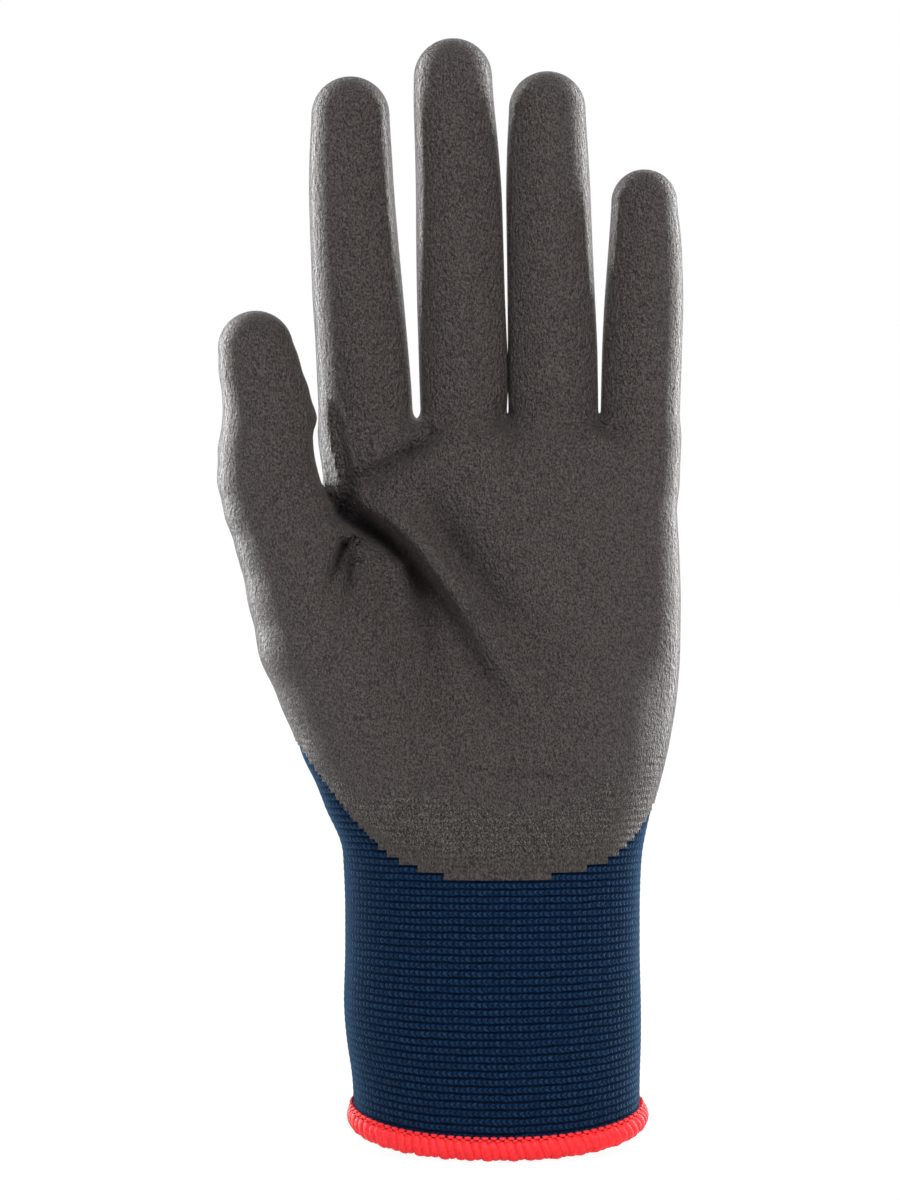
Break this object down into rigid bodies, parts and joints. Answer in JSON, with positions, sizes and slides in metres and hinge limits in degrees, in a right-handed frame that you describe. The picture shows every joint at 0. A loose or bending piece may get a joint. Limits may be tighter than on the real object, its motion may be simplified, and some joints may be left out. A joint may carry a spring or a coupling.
{
  "type": "cut resistant glove",
  "caption": "Left-hand knitted work glove with a dark dipped palm, separate finger stalls that bend at their folds, and a ribbed cuff with a bound hem.",
  "frame": {"origin": "centre of the wrist opening, level with the hem's lower edge", "axes": "+Z towards the fingertips, palm towards -Y, thumb towards -X"},
  "size_m": [0.1033, 0.0484, 0.2429],
  "materials": {
    "navy_knit": "fine knitted yarn",
    "palm_film": "thin dipped film with a fine grain",
    "hem_thread": "overlocked thread",
    "elastic_yarn": "covered elastic yarn"
  },
  "bodies": {
    "cuff": {"cuff_liner": "navy_knit", "cuff_elastic_yarn": "elastic_yarn", "hem_overlock": "hem_thread", "hem_needle_thread": "hem_thread", "wrist_knit": "navy_knit"},
    "hand": {"hand_liner": "navy_knit", "palm_coating": "palm_film"},
    "index_proximal": {"index_proximal_liner": "navy_knit", "index_proximal_coating": "palm_film", "index_proximal_fold": "navy_knit"},
    "index_middle": {"index_middle_liner": "navy_knit", "index_middle_coating": "palm_film", "index_middle_fold": "navy_knit"},
    "index_tip": {"index_tip_liner": "navy_knit", "index_tip_coating": "palm_film", "index_tip_fold": "navy_knit"},
    "middle_proximal": {"middle_proximal_liner": "navy_knit", "middle_proximal_coating": "palm_film", "middle_proximal_fold": "navy_knit"},
    "middle_middle": {"middle_middle_liner": "navy_knit", "middle_middle_coating": "palm_film", "middle_middle_fold": "navy_knit"},
    "middle_tip": {"middle_tip_liner": "navy_knit", "middle_tip_coating": "palm_film", "middle_tip_fold": "navy_knit"},
    "ring_proximal": {"ring_proximal_liner": "navy_knit", "ring_proximal_coating": "palm_film", "ring_proximal_fold": "navy_knit"},
    "ring_middle": {"ring_middle_liner": "navy_knit", "ring_middle_coating": "palm_film", "ring_middle_fold": "navy_knit"},
    "ring_tip": {"ring_tip_liner": "navy_knit", "ring_tip_coating": "palm_film", "ring_tip_fold": "navy_knit"},
    "little_proximal": {"little_proximal_liner": "navy_knit", "little_proximal_coating": "palm_film", "little_proximal_fold": "navy_knit"},
    "little_middle": {"little_middle_liner": "navy_knit", "little_middle_coating": "palm_film", "little_middle_fold": "navy_knit"},
    "little_tip": {"little_tip_liner": "navy_knit", "little_tip_coating": "palm_film", "little_tip_fold": "navy_knit"},
    "thumb_proximal": {"thumb_proximal_liner": "navy_knit", "thumb_proximal_coating": "palm_film", "thumb_proximal_fold": "navy_knit"},
    "thumb_tip": {"thumb_tip_liner": "navy_knit", "thumb_tip_coating": "palm_film", "thumb_tip_fold": "navy_knit"}
  },
  "joints": [
    {"name": "wrist_flex", "type": "hinge", "parent": "cuff", "child": "hand", "pos_m": [0, 0, 0.056], "axis": [1, 0, 0], "range_deg": [-60, 60], "stiffness_Nm_per_rad": 0.6, "deforming": ["wrist_knit"]},
    {"name": "index_proximal_flex", "type": "hinge", "parent": "hand", "child": "index_proximal", "pos_m": [-0.02979, 0, 0.16699], "axis": [0.9985, 0, 0.0541], "range_deg": [0, 70], "stiffness_Nm_per_rad": 0.02, "deforming": ["index_proximal_fold"]},
    {"name": "index_middle_flex", "type": "hinge", "parent": "index_proximal", "child": "index_middle", "pos_m": [-0.03092, 0, 0.18796], "axis": [0.9985, 0, 0.0541], "range_deg": [0, 80], "stiffness_Nm_per_rad": 0.02, "deforming": ["index_middle_fold"]},
    {"name": "index_tip_flex", "type": "hinge", "parent": "index_middle", "child": "index_tip", "pos_m": [-0.03211, 0, 0.20992], "axis": [0.9985, 0, 0.0541], "range_deg": [0, 48], "stiffness_Nm_per_rad": 0.02, "deforming": ["index_tip_fold"]},
    {"name": "middle_proximal_flex", "type": "hinge", "parent": "hand", "child": "middle_proximal", "pos_m": [-0.00745, 0, 0.16699], "axis": [0.9993, 0, 0.0384], "range_deg": [0, 70], "stiffness_Nm_per_rad": 0.02, "deforming": ["middle_proximal_fold"]},
    {"name": "middle_middle_flex", "type": "hinge", "parent": "middle_proximal", "child": "middle_middle", "pos_m": [-0.00833, 0, 0.18998], "axis": [0.9993, 0, 0.0384], "range_deg": [0, 80], "stiffness_Nm_per_rad": 0.02, "deforming": ["middle_middle_fold"]},
    {"name": "middle_tip_flex", "type": "hinge", "parent": "middle_middle", "child": "middle_tip", "pos_m": [-0.00929, 0, 0.21496], "axis": [0.9993, 0, 0.0384], "range_deg": [0, 48], "stiffness_Nm_per_rad": 0.02, "deforming": ["middle_tip_fold"]},
    {"name": "ring_proximal_flex", "type": "hinge", "parent": "hand", "child": "ring_proximal", "pos_m": [0.01235, 0, 0.1667], "axis": [0.9996, 0, 0.0279], "range_deg": [0, 70], "stiffness_Nm_per_rad": 0.02, "deforming": ["ring_proximal_fold"]},
    {"name": "ring_middle_flex", "type": "hinge", "parent": "ring_proximal", "child": "ring_middle", "pos_m": [0.01175, 0, 0.18819], "axis": [0.9996, 0, 0.0279], "range_deg": [0, 80], "stiffness_Nm_per_rad": 0.02, "deforming": ["ring_middle_fold"]},
    {"name": "ring_tip_flex", "type": "hinge", "parent": "ring_middle", "child": "ring_tip", "pos_m": [0.01112, 0, 0.21068], "axis": [0.9996, 0, 0.0279], "range_deg": [0, 48], "stiffness_Nm_per_rad": 0.02, "deforming": ["ring_tip_fold"]},
    {"name": "little_proximal_flex", "type": "hinge", "parent": "hand", "child": "little_proximal", "pos_m": [0.03172, 0, 0.166], "axis": [0.9997, 0, -0.0244], "range_deg": [0, 70], "stiffness_Nm_per_rad": 0.02, "deforming": ["little_proximal_fold"]},
    {"name": "little_middle_flex", "type": "hinge", "parent": "little_proximal", "child": "little_middle", "pos_m": [0.03213, 0, 0.18299], "axis": [0.9997, 0, -0.0244], "range_deg": [0, 80], "stiffness_Nm_per_rad": 0.02, "deforming": ["little_middle_fold"]},
    {"name": "little_tip_flex", "type": "hinge", "parent": "little_middle", "child": "little_tip", "pos_m": [0.03253, 0, 0.19899], "axis": [0.9997, 0, -0.0244], "range_deg": [0, 48], "stiffness_Nm_per_rad": 0.02, "deforming": ["little_tip_fold"]},
    {"name": "thumb_proximal_flex", "type": "hinge", "parent": "hand", "child": "thumb_proximal", "pos_m": [-0.04968, -0.01003, 0.14636], "axis": [-0.755, -0.6325, -0.1732], "range_deg": [-45, 0], "stiffness_Nm_per_rad": 0.02, "deforming": ["thumb_proximal_fold"]},
    {"name": "thumb_tip_flex", "type": "hinge", "parent": "thumb_proximal", "child": "thumb_tip", "pos_m": [-0.052, -0.0119, 0.1633], "axis": [-0.755, -0.6325, -0.1732], "range_deg": [-60, 0], "stiffness_Nm_per_rad": 0.02, "deforming": ["thumb_tip_fold"]}
  ],
  "couplings": [
    {"joint": "index_tip_flex", "follows": "index_middle_flex", "ratio": 0.6},
    {"joint": "middle_tip_flex", "follows": "middle_middle_flex", "ratio": 0.6},
    {"joint": "ring_tip_flex", "follows": "ring_middle_flex", "ratio": 0.6},
    {"joint": "little_tip_flex", "follows": "little_middle_flex", "ratio": 0.6}
  ]
}
